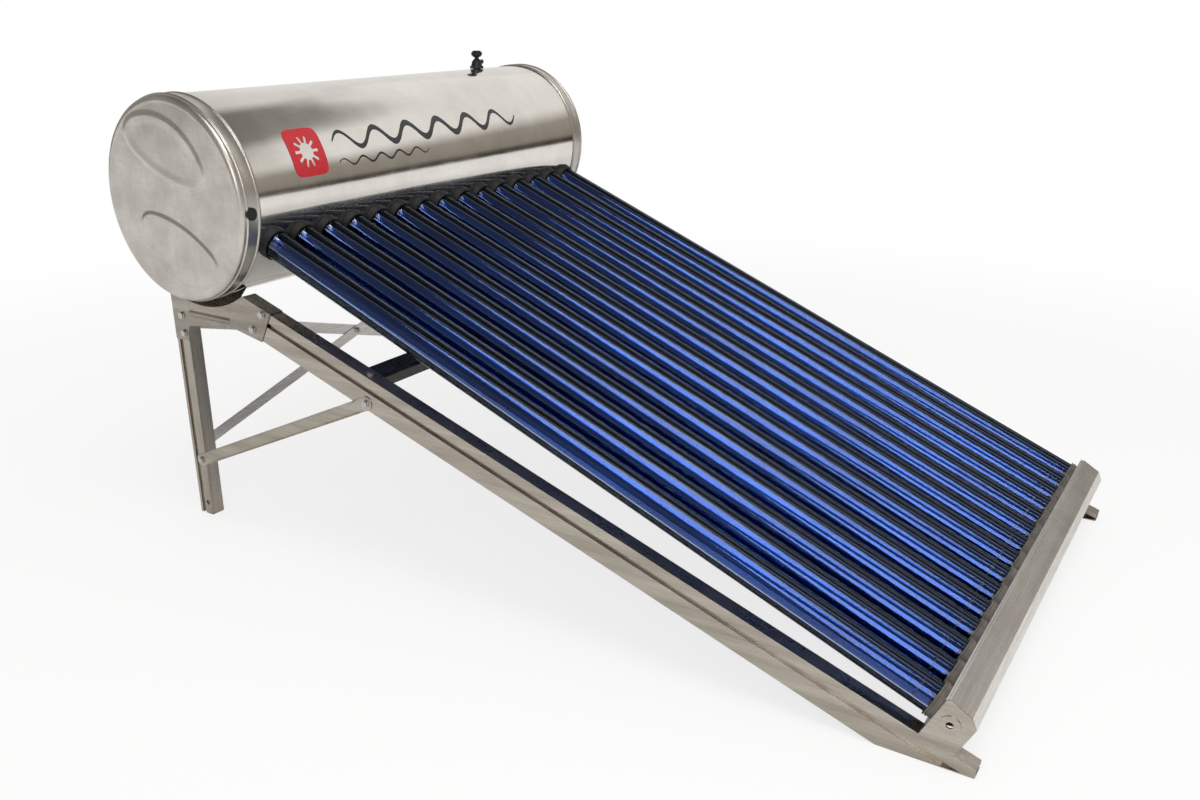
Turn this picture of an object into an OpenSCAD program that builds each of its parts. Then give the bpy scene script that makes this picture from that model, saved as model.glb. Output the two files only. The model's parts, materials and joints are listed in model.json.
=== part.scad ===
// Thermosiphon solar water heater: an insulated stainless tank fed by a row of
// evacuated glass tubes, on a bolted stand of folded stainless channels.
// +X runs along the tank, the tubes slope down towards -Y, +Z is up.
// The origin is on the ground, in the middle of the whole heater's footprint.

/* [Tubes] */
// Number of evacuated tubes
tube_count = 15; // [8:1:18]
// Distance between neighbouring tubes
tube_pitch = 80; // [78:1:100]
// Outer glass diameter
tube_d = 58; // [50:1:60]
// Outer glass wall
tube_wall = 1.8; // [1.4:0.1:2.6]
// Vacuum gap between the outer and the inner (absorber) glass
vacuum_gap = 3.7; // [2.5:0.1:5]
// Inner glass wall
absorber_wall = 1.6; // [1.2:0.1:2.4]
// Overall length of one tube
tube_len = 1700; // [1400:10:2050]
// Slope of the tubes below the horizontal
tube_tilt = 21.7; // [18:0.1:26]
// How far the open end reaches inside the inner tank
tube_plunge = 80; // [50:1:90]
// Height of the tubes' closed ends above the ground
tube_foot_h = 82.5; // [75:0.5:110]

/* [Tank] */
// Outer shell diameter
shell_d = 400; // [390:1:440]
// Outer shell sheet
shell_wall = 1; // [0.6:0.1:2]
// Inner water tank diameter
inner_d = 300; // [290:1:340]
// Inner water tank sheet
inner_wall = 1.5; // [1:0.1:3]
// Insulation thickness at the two ends
end_foam = 50; // [30:1:60]
// From the last tube's axis to the end of the tank
end_margin = 90; // [80:1:120]
// Depth of an end cap's skirt
skirt_len = 52; // [40:1:60]
// End cap sheet
cap_wall = 1.2; // [0.8:0.1:2]

/* [Plumbing] */
// Thread diameter of the water nipples (G1)
nipple_d = 33; // [26:1:42]
// Waterway diameter of the nipples
nipple_bore = 25; // [18:1:30]
// How far the nipples stand out beyond the shell
nipple_stand = 28; // [20:1:50]
// Height of the nipples above and below the tank's axis
nipple_offset = 80; // [60:1:90]
// Distance of the nipples from the tank's middle
nipple_x = 450; // [400:1:480]
// Distance of the vent from the tank's middle
vent_x = 420; // [350:1:440]
// Height of the vent above the shell
vent_h = 44; // [42:1:60]

/* [Stand] */
// From the tank's end to the outer face of the legs
leg_inset = 50; // [50:1:60]
// Sheet thickness of the stand
sheet = 2; // [1.5:0.1:2.5]
// Flange width of the legs
leg_flange = 35; // [30:1:40]
// Web height of the front legs
front_leg_h = 66; // [60:1:70]
// How far above the saddle's bottom the line of the front legs' top passes
leg_rise = 77; // [72:1:79]
// Web width of the rear legs
rear_leg_w = 40; // [36:1:50]
// Rear legs behind the tank's axis
rear_leg_y = 84; // [80:1:90]
// How far the front legs' toes stand out beyond the tubes' closed ends
toe_margin = 48.5; // [40:0.5:60]
// Height of the side brace on the rear leg
brace_low = 140; // [110:1:180]
// Distance along the front leg to the side brace
brace_at = 494; // [440:1:540]
// Height of the rear cross bars' lower bolts
cross_low = 160; // [130:1:200]
// From the saddle's bottom down to the rear cross bars' upper bolts
cross_drop = 55; // [52:1:88]
// Shank diameter of the stand's bolts
bolt_d = 8; // [6:1:10]
// Diameter of the anchor holes in the feet
anchor_d = 12; // [9:1:14]

/* [Tail rail] */
// How far the rail's wall stands back from the tubes' closed ends
rail_lap = 32; // [28:1:40]
// From the tubes' axes down to the front legs, under the rail
rail_depth = 48; // [42:1:60]
// Width of the rail along the tubes
rail_w = 62; // [58:1:70]
// Thickness of a tube cup's floor
cup_floor = 6; // [4:1:10]

/* [Hidden] */
$fn = 96;
eps = 0.01;
clear = 0.3;       // gap between pieces that touch in the real heater
hole_play = 0.4;   // how much wider a bolt hole is than its bolt
seat = 0.2;        // gap between stacked sheets

shell_r = shell_d / 2;
inner_r = inner_d / 2;
half_len = (tube_count - 1) / 2 * tube_pitch + end_margin;
inner_half = half_len - end_foam;
cap_r = shell_r + clear + cap_wall;
bead = 2.4;        // height of the skirt's beads and rolled rim
leg_x = half_len - leg_inset;
leg_in = leg_x - leg_flange;
saddle_r = shell_r + 22;
nipple_reach = shell_r + nipple_stand;
front_leg_drop = saddle_r - leg_rise;

absorber_d = tube_d - 2 * (tube_wall + vacuum_gap);

// Along the tubes, from the tank's axis.
tube_top = inner_r - tube_plunge;
tube_tip = tube_top + tube_len;
rail_at = tube_tip - rail_lap;
rail_mid = rail_at + rail_w / 2;

// The slopes fix the tank's height and the stand's reach.
axis_h = round(tube_tip * sin(tube_tilt) + tube_foot_h);
toe_reach = round(tube_tip * cos(tube_tilt) + toe_margin);
y_shift = (toe_reach - nipple_reach) / 2;
cross_high = axis_h - saddle_r - cross_drop;
leg_foot_z = -axis_h;

// The front legs' top meets the rail's middle rail_depth below the tubes' axes.
rail_foot_y = rail_mid * cos(tube_tilt) - rail_depth * sin(tube_tilt);
rail_foot_z = rail_mid * sin(tube_tilt) + rail_depth * cos(tube_tilt);
front_leg_tilt = round(10 * atan((rail_foot_z - front_leg_drop) / rail_foot_y)) / 10;

// Section of the rail, above the tubes' axes.
rail_top = tube_d / 2 + 10; // its highest edge
rail_nose = rail_top - 3.5; // where its front wall turns back
rail_fall = 20;             // how much lower its back edge lies
rail_low = -front_leg_drop; // drawn this deep before the legs cut it

// ---------- places ----------

// Moves a piece from the tank's own frame to the heater's frame.
module stand() {
    translate([0, y_shift, axis_h]) children();
}

// Repeats a piece at the left and, mirrored, at the right.
module on_side(side) {
    if (side < 0) children();
    else mirror([1, 0, 0]) children();
}

function tube_x(i) = (i - (tube_count + 1) / 2) * tube_pitch;

// Frame of one tube: origin on the tank's axis, +Z down along the tube,
// +Y square to the row and upwards.
module along_tube(i) {
    translate([tube_x(i), 0, 0]) rotate([90 + tube_tilt, 0, 0]) children();
}

// Frame of a front leg: +Z down along its top edge, +Y square to it and upwards.
module along_leg() {
    translate([0, 0, -front_leg_drop]) rotate([90 + front_leg_tilt, 0, 0]) children();
}

// Point on the leg, a along its top edge and b below it, as [y, z].
function leg_point(a, b) = [
    -a * cos(front_leg_tilt) + b * sin(front_leg_tilt),
    -front_leg_drop - a * sin(front_leg_tilt) - b * cos(front_leg_tilt)
];

// A cylinder along X, from x_from to x_to, at [y, z].
module rod_x(at, x_from, x_to, d, sides = 96) {
    translate([x_from, at[0], at[1]]) rotate([0, 90, 0]) cylinder(d = d, h = x_to - x_from, $fn = sides);
}

// A cylinder along Y, from y_from to y_to, at [x, z].
module rod_y(at, y_from, y_to, d, sides = 96) {
    translate([at[0], y_to, at[1]]) rotate([90, 0, 0]) cylinder(d = d, h = y_to - y_from, $fn = sides);
}

// Turns a profile of [radius, x] points around the tank's axis.
module around_tank(angle = 360, start = 0) {
    rotate([0, 90, 0]) rotate([0, 0, start]) rotate_extrude(angle = angle, $fn = 180) children();
}

// ---------- tank ----------

foam_hole = tube_d + 14;
dust_neck = tube_d + 6;
seal_neck = tube_d + 5;

module tube_holes(d, from, to) {
    for (i = [1:tube_count]) along_tube(i) translate([0, 0, from]) cylinder(d = d, h = to - from);
}

module port_holes(d) {
    rod_y([-nipple_x, -nipple_offset], 0, nipple_reach + 10, d);
    rod_y([nipple_x, nipple_offset], 0, nipple_reach + 10, d);
}

vent_neck_d = 20;
plug_x = half_len - 24;
plug_z = -8;

module shell_ports() {
    port_holes(nipple_d + 2 * clear);
    translate([vent_x, 0, 0]) cylinder(d = vent_neck_d + 2 * clear, h = shell_r + 10);
    rod_y([-plug_x, plug_z], -shell_r - 5, -shell_r + 20, plug_d + 2 * clear);
}

module outer_shell() {
    color([0.80, 0.79, 0.77]) difference() {
        rod_x([0, 0], -half_len + cap_round, half_len - cap_round, shell_d, 180);
        rod_x([0, 0], -half_len, half_len, shell_d - 2 * shell_wall, 180);
        tube_holes(dust_neck + 2 * clear, inner_r + 20, shell_r + 30);
        shell_ports();
    }
}

// Leaf-shaped panel pressed outwards on an end cap, as seen from outside.
module pressed_panel() {
    rounding = 20;
    offset(r = rounding) offset(delta = -rounding) intersection() {
        translate([-0.20, 0.05] * shell_r) circle(r = 0.76 * shell_r);
        translate([0.46, 1.65] * shell_r) circle(r = 1.5 * shell_r);
    }
}

// Section of an end cap as [radius, x]: a round edge and two pressed beads.
cap_round = 11;
function cap_edge() = [for (a = [0:15:90]) [
    cap_r - cap_round + cap_round * sin(a),
    -half_len + cap_round - cap_round * cos(a)
]];
function cap_bead(at) = [
    [cap_r, -half_len + at],
    [cap_r + bead, -half_len + at + 2],
    [cap_r + bead, -half_len + at + 6],
    [cap_r, -half_len + at + 8]
];

module end_cap(side) {
    color([0.70, 0.68, 0.64]) on_side(side) difference() {
        union() {
            around_tank() polygon(concat(
                [[0, -half_len]],
                cap_edge(),
                cap_bead(cap_round + 1),
                cap_bead(skirt_len - 9),
                [
                    [cap_r, -half_len + skirt_len],
                    [shell_r + clear, -half_len + skirt_len],
                    [shell_r + clear, -half_len + cap_round],
                    [cap_r - cap_round, -half_len + cap_wall],
                    [0, -half_len + cap_wall]
                ]
            ));
            for (turn = [0, 180]) {
                translate([-half_len + eps, 0, 0]) rotate([90, 0, -90]) rotate(turn)
                    linear_extrude(bead) pressed_panel();
            }
        }
        if (side < 0) {
            rod_y([-plug_x, plug_z], -cap_r - 5, -shell_r + 20, plug_d + 2 * clear);
            rod_y([-plug_x, plug_z], -cap_r - 5, -cap_r - eps, plug_d + 9);
        }
    }
}

module insulation() {
    color([0.93, 0.85, 0.60]) difference() {
        rod_x([0, 0], -half_len + cap_round, half_len - cap_round, shell_d - 2 * shell_wall - 2 * clear, 180);
        rod_x([0, 0], -inner_half - clear, inner_half + clear, inner_d + 2 * clear, 180);
        tube_holes(foam_hole, inner_r - 20, shell_r + 30);
        shell_ports();
        rod_y([anode_x, anode_z], 0, inner_r + 10, anode_plug_d + 16);
    }
}

module inner_tank() {
    color([0.75, 0.76, 0.78]) difference() {
        rod_x([0, 0], -inner_half, inner_half, inner_d, 180);
        rod_x([0, 0], -inner_half + inner_wall, inner_half - inner_wall, inner_d - 2 * inner_wall, 180);
        tube_holes(seal_neck + 2 * clear, inner_r - 60, inner_r + 20);
        port_holes(nipple_d + 2 * clear);
        translate([vent_x, 0, 0]) cylinder(d = vent_neck_d + 2 * clear, h = inner_r + 10);
        rod_y([anode_x, anode_z], 0, inner_r, anode_plug_d + 2 * clear);
    }
}

// Rubber ring round a tube: a neck in the wall's hole and a collar outside it.
module grommet(wall_r, neck_d, inside, collar_d, outside, taper) {
    difference() {
        union() {
            translate([0, 0, wall_r - inside]) cylinder(d = neck_d, h = inside + outside);
            difference() {
                translate([0, 0, wall_r - 12]) cylinder(d1 = collar_d, d2 = collar_d - taper, h = 12 + outside);
                rotate([90 + tube_tilt, 0, 0]) rotate([0, 90, 0])
                    cylinder(r = wall_r + clear, h = 2 * collar_d, center = true, $fn = 180);
            }
        }
        translate([0, 0, wall_r - inside - 5]) cylinder(d = tube_d + 2 * clear, h = inside + outside + 10);
    }
}

module dust_rings() {
    color([0.08, 0.08, 0.08]) for (i = [1:tube_count])
        along_tube(i) grommet(shell_r, dust_neck, 10, tube_d + 12, 13, 4);
}

module tank_seals() {
    color([0.55, 0.12, 0.10]) for (i = [1:tube_count])
        along_tube(i) grommet(inner_r, seal_neck, 12, tube_d + 11, 10, 0);
}

nipple_free = 24;  // thread beyond the nipple's hexagon

// Threaded water nipple that passes through the shell into the inner tank.
module nipple(x, z) {
    wall_y = sqrt(inner_r * inner_r - z * z);
    ring_in = wall_y - 6;
    color([0.72, 0.62, 0.35]) difference() {
        union() {
            rod_y([x, z], ring_in, nipple_reach, nipple_d);
            rod_y([x, z], nipple_reach - nipple_free - 6, nipple_reach - nipple_free, nipple_d + 10, 6);
        }
        rod_y([x, z], ring_in - 5, nipple_reach + 5, nipple_bore);
    }
}

module cold_inlet() {
    nipple(-nipple_x, -nipple_offset);
}

module hot_outlet() {
    nipple(nipple_x, nipple_offset);
}

// Sacrificial anode inside the water, screwed into the inner tank's back wall.
anode_x = 300;
anode_z = 60;
anode_plug_d = 26;
module anode_rod() {
    wall_y = sqrt(inner_r * inner_r - anode_z * anode_z);
    color([0.60, 0.61, 0.63]) union() {
        rod_y([anode_x, anode_z], wall_y - 210, wall_y - 4, 21);
        rod_y([anode_x, anode_z], wall_y - 8, wall_y + 6, anode_plug_d);
        rod_y([anode_x, anode_z], wall_y + 6, wall_y + 14, 30, 6);
    }
}

// Rubber plug that closes the sensor pocket in the left end cap's skirt.
plug_d = 18;
module sensor_plug() {
    color([0.10, 0.09, 0.09]) union() {
        rod_y([-plug_x, plug_z], -cap_r - 1, -shell_r + 12, plug_d);
        rod_y([-plug_x, plug_z], -cap_r - 5, -cap_r - 0.6, plug_d + 7);
    }
}

// Vent: a plastic body screwed into the top of the tank, with a side spout.
vent_base_h = 19;
vent_spout_h = 11;
stem_d = 10;
stem_play = 0.08;
module vent_body() {
    base = shell_r + 1;
    color([0.09, 0.09, 0.10]) translate([vent_x, 0, 0]) difference() {
        union() {
            translate([0, 0, inner_r - 8]) cylinder(d = vent_neck_d, h = base - inner_r + 10);
            translate([0, 0, base]) cylinder(d = 36, h = 6, $fn = 6);
            translate([0, 0, base + 6]) cylinder(d1 = 30, d2 = 24, h = vent_base_h - 6);
            translate([0, 0, base + vent_spout_h]) rotate([0, 78, 0]) cylinder(d = 11, h = 25);
        }
        translate([0, 0, inner_r - 20]) cylinder(d = stem_d + 2 * stem_play, h = base - inner_r + 20 + vent_base_h + 5);
        translate([0, 0, base + vent_spout_h]) rotate([0, 78, 0]) cylinder(d = 7, h = 40);
    }
}

// Release knob that turns on the vent's thread.
knob_h = 15;
knob_d = 29;
module vent_knob() {
    base = shell_r + 1;
    knob_z = shell_r + vent_h - knob_h;
    color([0.07, 0.07, 0.08]) translate([vent_x, 0, 0]) difference() {
        rotate_extrude() polygon([
            [0, base + vent_spout_h - 8],
            [stem_d / 2, base + vent_spout_h - 8],
            [stem_d / 2, base + vent_base_h + clear],
            [9, base + vent_base_h + clear],
            [9, base + vent_base_h + 3],
            [6, base + vent_base_h + 4],
            [6, knob_z],
            [knob_d / 3, knob_z],
            [knob_d / 2, knob_z + 5],
            [knob_d / 2, knob_z + 10],
            [knob_d / 3, knob_z + knob_h],
            [0, knob_z + knob_h]
        ]);
        for (rib = [0:13]) rotate([0, 0, rib * 360 / 14])
            translate([knob_d / 2 + 0.8, 0, knob_z - 1]) cylinder(d = 3.6, h = knob_h + 2, $fn = 24);
    }
}

// ---------- stand ----------

groove_w = 10;
groove_deep = 6;
lip = 9;

// Folded channel section: outer face at x = 0, open side at x = width,
// height downwards from y = 0, with one groove pressed along the web.
module channel(height, width, groove_at) {
    groove_top = -groove_at + groove_w / 2;
    groove_end = -groove_at - groove_w / 2;
    translate([0, groove_top]) square([sheet, -groove_top]);
    translate([0, -height]) square([sheet, height + groove_end]);
    translate([groove_deep, groove_end - sheet]) square([sheet, groove_w + 2 * sheet]);
    translate([0, groove_top]) square([groove_deep + eps, sheet]);
    translate([0, groove_end - sheet]) square([groove_deep + eps, sheet]);
    translate([0, -sheet]) square([width, sheet]);
    translate([0, -height]) square([width, sheet]);
    translate([width - sheet, -lip]) square([sheet, lip]);
    translate([width - sheet, -height]) square([sheet, lip]);
}

leg_start = saddle_r - 85;
leg_groove = 25;
rear_groove = 12;
bracket_bolt_a = [leg_start + 53, leg_start + 35];
web_bolt_high = 10;
web_bolt_low = front_leg_h - 12;
rear_bolt_y = rear_leg_y - 8.5;
rail_bolt_a = rail_foot_y / cos(front_leg_tilt);
tie_at = 476;
tie_w = 44;
tie_deep = 24;

// Places of the bolts through the outer faces of the legs, as [y, z].
function side_bolts() = [
    [rear_bolt_y, -axis_h + cross_high + 24],
    [rear_bolt_y, -axis_h + cross_high - 16],
    [rear_bolt_y, -axis_h + brace_low],
    leg_point(bracket_bolt_a[0], web_bolt_high),
    leg_point(bracket_bolt_a[1], web_bolt_low),
    leg_point(brace_at, web_bolt_low)
];

// Bolts through the front legs' top flanges: [along the leg, sheet under the head].
leg_top_bolts = [[tie_at, 0], [rail_bolt_a, sheet + seat]];

module side_bolt_holes() {
    for (b = side_bolts()) rod_x([b[0], b[1]], -leg_x - 20, -leg_x + 12, bolt_d + hole_play, 48);
}

module rear_leg(side) {
    top = -sqrt(pow(saddle_r + 3, 2) - pow(rear_leg_y - rear_leg_w / 2, 2)) - 6;
    color([0.74, 0.72, 0.68]) on_side(side) difference() {
        translate([-leg_x, rear_leg_y + rear_leg_w / 2, leg_foot_z])
            linear_extrude(top - leg_foot_z) channel(rear_leg_w, leg_flange, rear_groove);
        side_bolt_holes();
        for (z = [cross_low, cross_high])
            rod_y([-leg_x + 20, -axis_h + z], rear_leg_y, rear_leg_y + rear_leg_w, bolt_d + hole_play, 48);
        rod_x([rear_bolt_y, -axis_h + 30], -leg_x - 5, -leg_x + 4, anchor_d, 48);
    }
}

// Folded leg with its lower end cut level with the ground, closed by a sole
// plate that has the anchor holes.
anchor_y = [toe_reach - 113, toe_reach - 63];
module front_leg(side) {
    color([0.76, 0.74, 0.70]) on_side(side) difference() {
        union() {
            intersection() {
                along_leg() translate([-leg_x, 0, leg_start])
                    linear_extrude(2000) channel(front_leg_h, leg_flange, leg_groove);
                translate([-leg_x - 50, -toe_reach, leg_foot_z]) cube([200, toe_reach, axis_h]);
            }
            intersection() {
                along_leg() translate([-leg_x, -front_leg_h, leg_start])
                    cube([leg_flange, front_leg_h, 2000]);
                translate([-leg_x - 50, -toe_reach, leg_foot_z]) cube([200, toe_reach, sheet]);
            }
        }
        side_bolt_holes();
        for (y = anchor_y) translate([-leg_x + leg_flange / 2 + 2, -y, leg_foot_z - 5])
            cylinder(d = anchor_d, h = 5 + sheet + 3, $fn = 48);
        flange_bolt_holes();
        along_leg() translate([-leg_in - sheet - 1, -lip - 1, tie_at - tie_w / 2 - 1])
            cube([sheet + 2, lip + 1 - sheet, tie_w + 2]);
    }
}

// Stamped plate that joins both legs and carries the tank on a flared saddle.
bracket_rear_y = rear_leg_y + rear_leg_w / 2;
bracket_end = leg_start + 75;
module bracket_outline() {
    peak = leg_point(leg_start - 14, -sheet - seat);
    nose_top = leg_point(bracket_end, -sheet - seat);
    nose_low = leg_point(bracket_end - 10, front_leg_h + 2);
    heel_z = -axis_h + cross_high - 32;
    difference() {
        polygon([
            [bracket_rear_y, -sqrt(saddle_r * saddle_r - bracket_rear_y * bracket_rear_y)],
            [bracket_rear_y, heel_z],
            [bracket_rear_y - rear_leg_w, heel_z],
            [bracket_rear_y - rear_leg_w - 8, heel_z + 34],
            leg_point(leg_start - 30, front_leg_h + 14),
            nose_low,
            nose_top,
            peak,
            [0, -saddle_r + 20]
        ]);
        circle(r = saddle_r, $fn = 180);
    }
}

module tank_bracket(side) {
    ridge_z = -saddle_r - 22;
    reach = leg_flange - 2;
    color([0.78, 0.76, 0.72]) on_side(side) difference() {
        union() {
            translate([-leg_x - sheet - seat, 0, 0]) rotate([90, 0, 90]) linear_extrude(sheet) bracket_outline();
            rotate([0, 90, 0]) rotate([0, 0, saddle_turn]) rotate_extrude(angle = saddle_sweep, $fn = 180) polygon([
                [saddle_r, -leg_x - sheet - seat],
                [saddle_r + 1.6 * sheet, -leg_x - sheet - seat],
                [shell_r + clear + 1.6 * sheet, -leg_x + reach],
                [shell_r + clear, -leg_x + reach]
            ]);
            intersection() {
                along_leg() translate([-leg_x - sheet - seat, seat, leg_start - 10])
                    cube([leg_flange + sheet, sheet, bracket_end - leg_start + 10]);
                difference() {
                    translate([-leg_x - 50, -400, -400]) cube([200, 400, 400]);
                    rod_x([0, 0], -leg_x - 60, 0, 2 * saddle_r + 2, 180);
                }
            }
            translate([-leg_x - sheet - seat + 6, 0, ridge_z]) {
                translate([0, -75, 0]) rotate([-90, 0, 0]) cylinder(r = 9, h = 120);
                for (y = [-75, 45]) translate([0, y, 0]) sphere(r = 9);
            }
        }
        translate([-leg_x - seat, -110, ridge_z - 12]) cube([30, 200, 24]);
        side_bolt_holes();
    }
}

// The saddle covers the arc of the bracket's cradle.
saddle_front_y = 112;
saddle_rear_angle = asin(bracket_rear_y / saddle_r);
saddle_front_angle = asin(saddle_front_y / saddle_r);
saddle_turn = -saddle_front_angle;
saddle_sweep = saddle_rear_angle + saddle_front_angle;

// Pressed bar with rounded, flattened ends, from one bolt to another.
module side_brace(side) {
    low = [rear_bolt_y, -axis_h + brace_low];
    high = leg_point(brace_at, web_bolt_low);
    span = norm(high - low);
    lift = atan2(high[1] - low[1], low[0] - high[0]);
    bar_h = 28;
    x_out = -leg_x - seat;
    color([0.77, 0.75, 0.71]) on_side(side) difference() {
        union() {
            translate([x_out - sheet, low[0], low[1]]) rotate([-lift, 0, 0]) {
                translate([0, -span, -bar_h / 2]) cube([sheet, span, bar_h]);
                translate([-10, -span + 26, bar_h / 2 - sheet]) cube([10 + eps, span - 52, sheet]);
                translate([-10, -span + 26, -bar_h / 2]) cube([10 + eps, span - 52, sheet]);
            }
            rod_x(low, x_out - sheet, x_out, bar_h + 2);
            rod_x(high, x_out - sheet, x_out, bar_h + 2);
        }
        side_bolt_holes();
    }
}

// Angle bar between the backs of the rear legs.
cross_end_x = leg_x - 20;
cross_bar_h = 26;
module cross_bar(rising, layer) {
    rise = cross_high - cross_low;
    turn = atan2(rise, 2 * cross_end_x) * (rising ? -1 : 1);
    span = norm([rise, 2 * cross_end_x]);
    y_in = rear_leg_y + rear_leg_w / 2 + seat + layer * (sheet + seat);
    mid_z = -axis_h + (cross_high + cross_low) / 2;
    z_left = -axis_h + (rising ? cross_low : cross_high);
    z_right = -axis_h + (rising ? cross_high : cross_low);
    color([0.72, 0.70, 0.66]) difference() {
        union() {
            translate([0, y_in, mid_z]) rotate([0, turn, 0]) {
                translate([-span / 2, 0, -cross_bar_h / 2]) cube([span, sheet, cross_bar_h]);
                if (layer > 0) translate([-span / 2 + 30, 0, cross_bar_h / 2 - sheet]) cube([span - 60, 14, sheet]);
            }
            rod_y([-cross_end_x, z_left], y_in, y_in + sheet, cross_bar_h + 4);
            rod_y([cross_end_x, z_right], y_in, y_in + sheet, cross_bar_h + 4);
        }
        rod_y([-cross_end_x, z_left], y_in - 5, y_in + 30, bolt_d + hole_play, 48);
        rod_y([cross_end_x, z_right], y_in - 5, y_in + 30, bolt_d + hole_play, 48);
        rod_y([0, mid_z], y_in - 5, y_in + 30, bolt_d + hole_play, 48);
    }
}

// Channel that ties the two front legs together, open side down.
tie_gap = sheet + seat;
module front_tie() {
    half = leg_x - sheet - clear;
    color([0.30, 0.31, 0.34]) difference() {
        along_leg() union() {
            translate([-half, -tie_gap - sheet, tie_at - tie_w / 2]) cube([2 * half, sheet, tie_w]);
            for (z = [tie_at - tie_w / 2, tie_at + tie_w / 2 - sheet])
                translate([-leg_in + 1, -tie_gap - tie_deep, z]) cube([2 * leg_in - 2, tie_deep, sheet]);
        }
        flange_bolt_holes();
        on_side(1) flange_bolt_holes();
    }
}

flange_bolt_x = leg_x - leg_flange / 2;
module flange_bolt_holes() {
    along_leg() for (b = leg_top_bolts) translate([-flange_bolt_x, 10, b[0]]) rotate([90, 0, 0])
        cylinder(d = bolt_d + hole_play, h = 20, $fn = 48);
}

// ---------- tail rail ----------

rail_half = leg_x;

// Turns a section drawn as [along, above] into a bar from x_from to x_to.
module rail_bar(x_from, x_to) {
    translate([x_from, 0, 0]) multmatrix([
        [0, 0, 1, 0],
        [-cos(tube_tilt), -sin(tube_tilt), 0, 0],
        [-sin(tube_tilt), cos(tube_tilt), 0, 0],
        [0, 0, 0, 1]
    ]) linear_extrude(x_to - x_from) children();
}

// The rail's section, open below; inset moves every wall inwards.
function rail_outline(inset) = [
    [rail_at + inset, rail_low - inset],
    [rail_at + inset, rail_nose],
    [rail_at + 4 + inset / 2, rail_top - inset],
    [rail_at + rail_w - 16, rail_top - 6 - inset],
    [rail_at + rail_w - inset, rail_top - rail_fall - inset / 2],
    [rail_at + rail_w - inset, rail_low - inset]
];

// Everything below the top of the front legs, where the rail stands on them.
module below_legs() {
    along_leg() translate([-half_len, seat - 200, rail_at - 200]) cube([2 * half_len, 200, 400]);
}

module tail_rail() {
    color([0.74, 0.71, 0.69]) difference() {
        union() {
            rail_bar(-rail_half, rail_half) difference() {
                polygon(rail_outline(0));
                polygon(rail_outline(sheet));
            }
            rail_bar(-rail_half, rail_half) translate([rail_at, rail_nose]) circle(d = 5, $fn = 24);
        }
        tube_holes(cup_d + 2 * clear, rail_at - 20, rail_at + 11);
        below_legs();
    }
}

// Moulded cup that holds a tube's closed end, pushed into the rail.
cup_d = tube_d + 6;
cup_collar = rail_at - 7;
module tube_cup() {
    mouth = tube_tip - 46;
    rib = cup_d / 2 + 1.5;
    difference() {
        rotate_extrude() polygon([
            [0, mouth],
            [rib, mouth],
            [rib, mouth + 2],
            [cup_d / 2 - 0.5, mouth + 3],
            [cup_d / 2 - 0.5, mouth + 4],
            [rib, mouth + 5],
            [rib, cup_collar],
            [cup_d / 2, cup_collar],
            [cup_d / 2, tube_tip - 20],
            [cup_d / 3, tube_tip + cup_floor],
            [0, tube_tip + cup_floor]
        ]);
        test_tube(tube_d + 2 * clear, mouth - 1, tube_tip - tube_nub + clear);
    }
}

module tube_cups() {
    color([0.52, 0.49, 0.45]) for (i = [1:tube_count]) along_tube(i) tube_cup();
}

// Folded plate that closes the rail's end, with a tab bolted to the front leg.
module rail_end(side) {
    tab_w = 28;
    medal = [rail_at + rail_w / 2 - 4, 0];
    x_out = -rail_half - sheet - seat;
    color([0.75, 0.72, 0.69]) on_side(side) difference() {
        union() {
            difference() {
                rail_bar(x_out, x_out + sheet) polygon(rail_outline(0));
                below_legs();
            }
            rail_bar(x_out - 1.5, x_out + eps) translate(medal) circle(d = 34);
            along_leg() translate([x_out, seat, rail_bolt_a - tab_w / 2])
                cube([leg_flange, sheet, tab_w]);
        }
        rail_bar(x_out - 5, x_out + 5) translate(medal) circle(d = 12);
        flange_bolt_holes();
    }
}

// ---------- fasteners ----------

bolt_head_h = 5.3;
bolt_af = 13;
nut_h = 6.5;
washer_d = 17;
function hex_d(af) = af / cos(30);

// Bolt along +X: head's underside at x = 0, head towards -X.
module bolt_x(grip) {
    translate([-bolt_head_h, 0, 0]) rotate([0, 90, 0]) cylinder(d = hex_d(bolt_af), h = bolt_head_h, $fn = 6);
    translate([-1.2, 0, 0]) rotate([0, 90, 0]) cylinder(d = washer_d, h = 1.2, $fn = 48);
    translate([-1.2, 0, 0]) rotate([0, 90, 0]) cylinder(d = bolt_d, h = grip + nut_h + 3 + 1.2, $fn = 48);
}

module nut_x(grip) {
    translate([grip, 0, 0]) rotate([0, 90, 0]) difference() {
        cylinder(d = hex_d(bolt_af), h = nut_h, $fn = 6);
        translate([0, 0, -1]) cylinder(d = bolt_d + 0.2, h = nut_h + 2, $fn = 48);
    }
}

// One bolt or, in its place, the nut that belongs to it.
module fastener(nut, grip) {
    if (nut) nut_x(grip);
    else bolt_x(grip);
}

// Every bolt, or every nut, of the stand.
module each_fastener(nut) {
    back = rear_leg_y + rear_leg_w / 2;
    play = 0.1;
    for (side = [-1, 1]) on_side(side) {
        for (b = side_bolts()) translate([-leg_x - sheet - seat - play, b[0], b[1]])
            fastener(nut, 2 * sheet + seat + 2 * play);
        along_leg() for (b = leg_top_bolts)
            translate([-flange_bolt_x, b[1] + play, b[0]]) rotate([0, 0, -90])
                fastener(nut, 2 * sheet + seat + 2 * play);
    }
    for (x = [-cross_end_x, cross_end_x], z = [cross_low, cross_high]) {
        layers = (x < 0) == (z == cross_low) ? 1 : 2;
        stack = layers * (sheet + seat) + play;
        translate([x, back + stack, -axis_h + z]) rotate([0, 0, -90]) fastener(nut, stack + sheet + play);
    }
    translate([0, back + 2 * (sheet + seat) + play, -axis_h + (cross_low + cross_high) / 2])
        rotate([0, 0, -90]) fastener(nut, 2 * sheet + seat + 2 * play);
}

module frame_bolts() {
    color([0.80, 0.80, 0.82]) each_fastener(false);
}

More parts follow.
